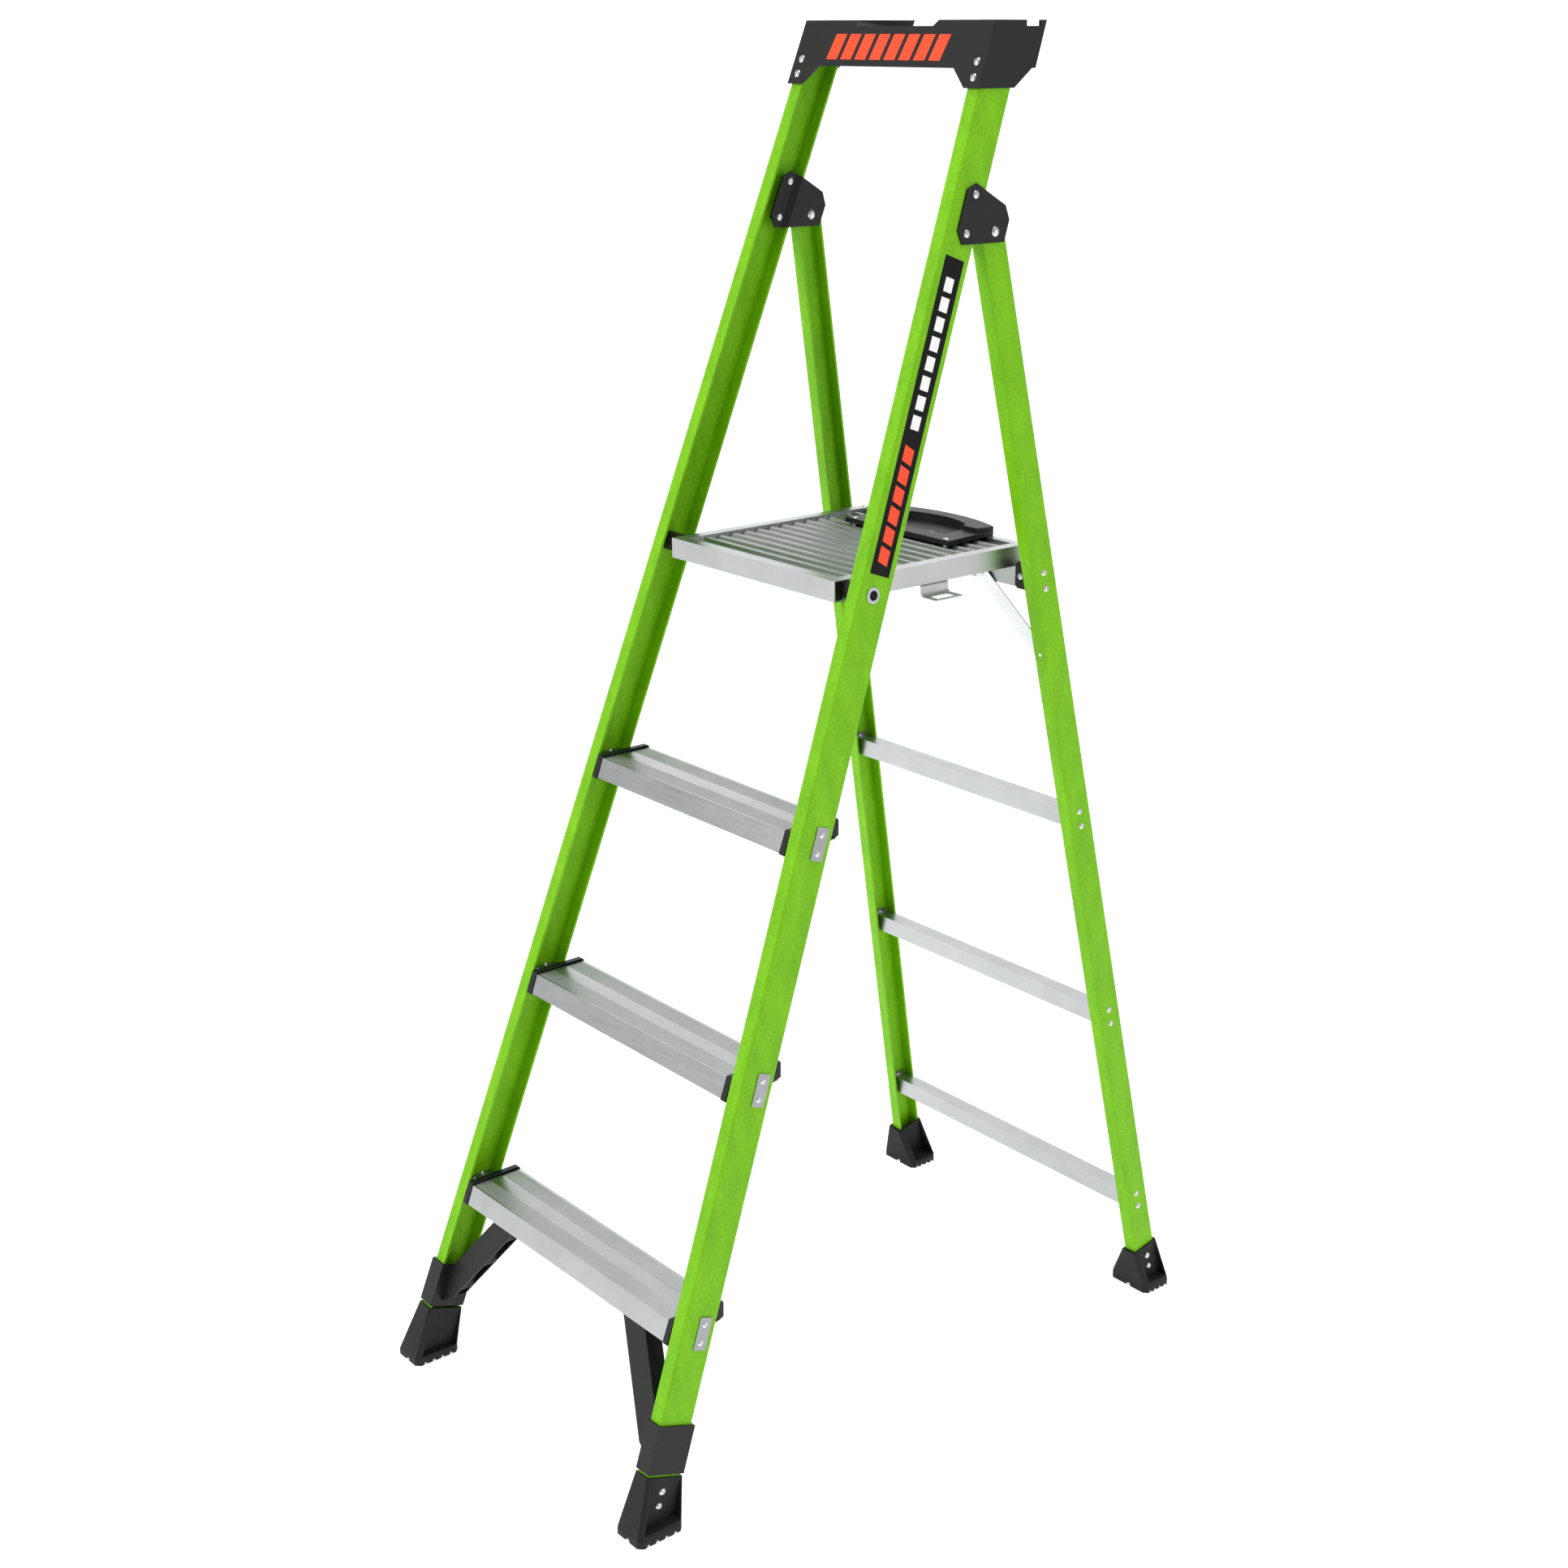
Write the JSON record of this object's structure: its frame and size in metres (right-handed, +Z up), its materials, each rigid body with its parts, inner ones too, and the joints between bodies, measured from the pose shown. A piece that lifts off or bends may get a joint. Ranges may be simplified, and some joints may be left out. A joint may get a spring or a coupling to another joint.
{
  "type": "platform step ladder",
  "caption": "Folding fibreglass step ladder with grooved treads, a hinged standing platform, rear rungs, a top cap and grooved boots.",
  "frame": {"origin": "on the floor, on the mirror plane, midway between the front soles' toes and the rear soles' heels", "axes": "+Z up, +Y from the climbing side to the rear, +X to the climber's right"},
  "size_m": [0.5632, 0.9576, 1.7444],
  "materials": {
    "fibreglass": "satin pultruded fibreglass",
    "aluminium": "satin extrusion",
    "black_plastic": "fine moulded grain",
    "boot_rubber": "matt",
    "black_metal": "satin powder coat",
    "rivet_steel": "bright",
    "label_film": "gloss"
  },
  "bodies": {
    "front_frame": {"front_boot_left": "boot_rubber", "front_boot_right": "boot_rubber", "front_boot_rivets": "rivet_steel", "front_rail_left": "fibreglass", "front_rail_right": "fibreglass", "hinge_plate_inner_left": "black_metal", "hinge_plate_inner_right": "black_metal", "hinge_plate_outer_left": "black_metal", "hinge_plate_outer_right": "black_metal", "hinge_rivets": "rivet_steel", "hinge_spacers": "black_plastic", "knee_brace_left": "black_plastic", "knee_brace_right": "black_plastic", "main_hinge_pins": "rivet_steel", "platform_bushes": "black_plastic", "platform_pivot_tubes": "aluminium", "rail_label": "label_film", "step_brackets": "aluminium", "step_plates": "aluminium", "step_rivets": "rivet_steel", "top_cap": "black_plastic", "top_cap_rivets": "rivet_steel", "tread_1": "aluminium", "tread_2": "aluminium", "tread_3": "aluminium", "tread_cap_1_left": "black_plastic", "tread_cap_1_right": "black_plastic", "tread_cap_2_left": "black_plastic", "tread_cap_2_right": "black_plastic", "tread_cap_3_left": "black_plastic", "tread_cap_3_right": "black_plastic"},
    "rear_frame": {"crossbar_bracket_left": "black_metal", "crossbar_bracket_right": "black_metal", "crossbar_rivets": "rivet_steel", "diagonal_strap_left": "aluminium", "diagonal_strap_right": "aluminium", "rear_boot_left": "boot_rubber", "rear_boot_right": "boot_rubber", "rear_boot_rivets": "rivet_steel", "rear_crossbar": "aluminium", "rear_rail_left": "fibreglass", "rear_rail_right": "fibreglass", "rear_rung_1": "aluminium", "rear_rung_2": "aluminium", "rear_rung_3": "aluminium", "rung_brackets": "aluminium", "rung_rivets": "rivet_steel", "strap_rivets": "rivet_steel"},
    "platform": {"platform_bar_plugs": "black_plastic", "platform_deck": "aluminium", "platform_front_bar": "aluminium", "platform_handle": "black_plastic", "platform_hooks": "aluminium", "platform_rear_bar": "aluminium", "platform_rivets": "rivet_steel", "platform_side_rail_left": "aluminium", "platform_side_rail_right": "aluminium"}
  },
  "joints": [
    {"name": "rear_fold", "type": "hinge", "parent": "front_frame", "child": "rear_frame", "pos_m": [0, 0.15743, 1.5048], "axis": [1, 0, 0], "range_deg": [-30.8, 0]},
    {"name": "platform_lift", "type": "hinge", "parent": "front_frame", "child": "platform", "pos_m": [0, -0.05047, 1.0959], "axis": [1, 0, 0], "range_deg": [0, 69.7]}
  ],
  "couplings": [
    {"joint": "platform_lift", "follows": "rear_fold", "ratio": -2.26}
  ]
}
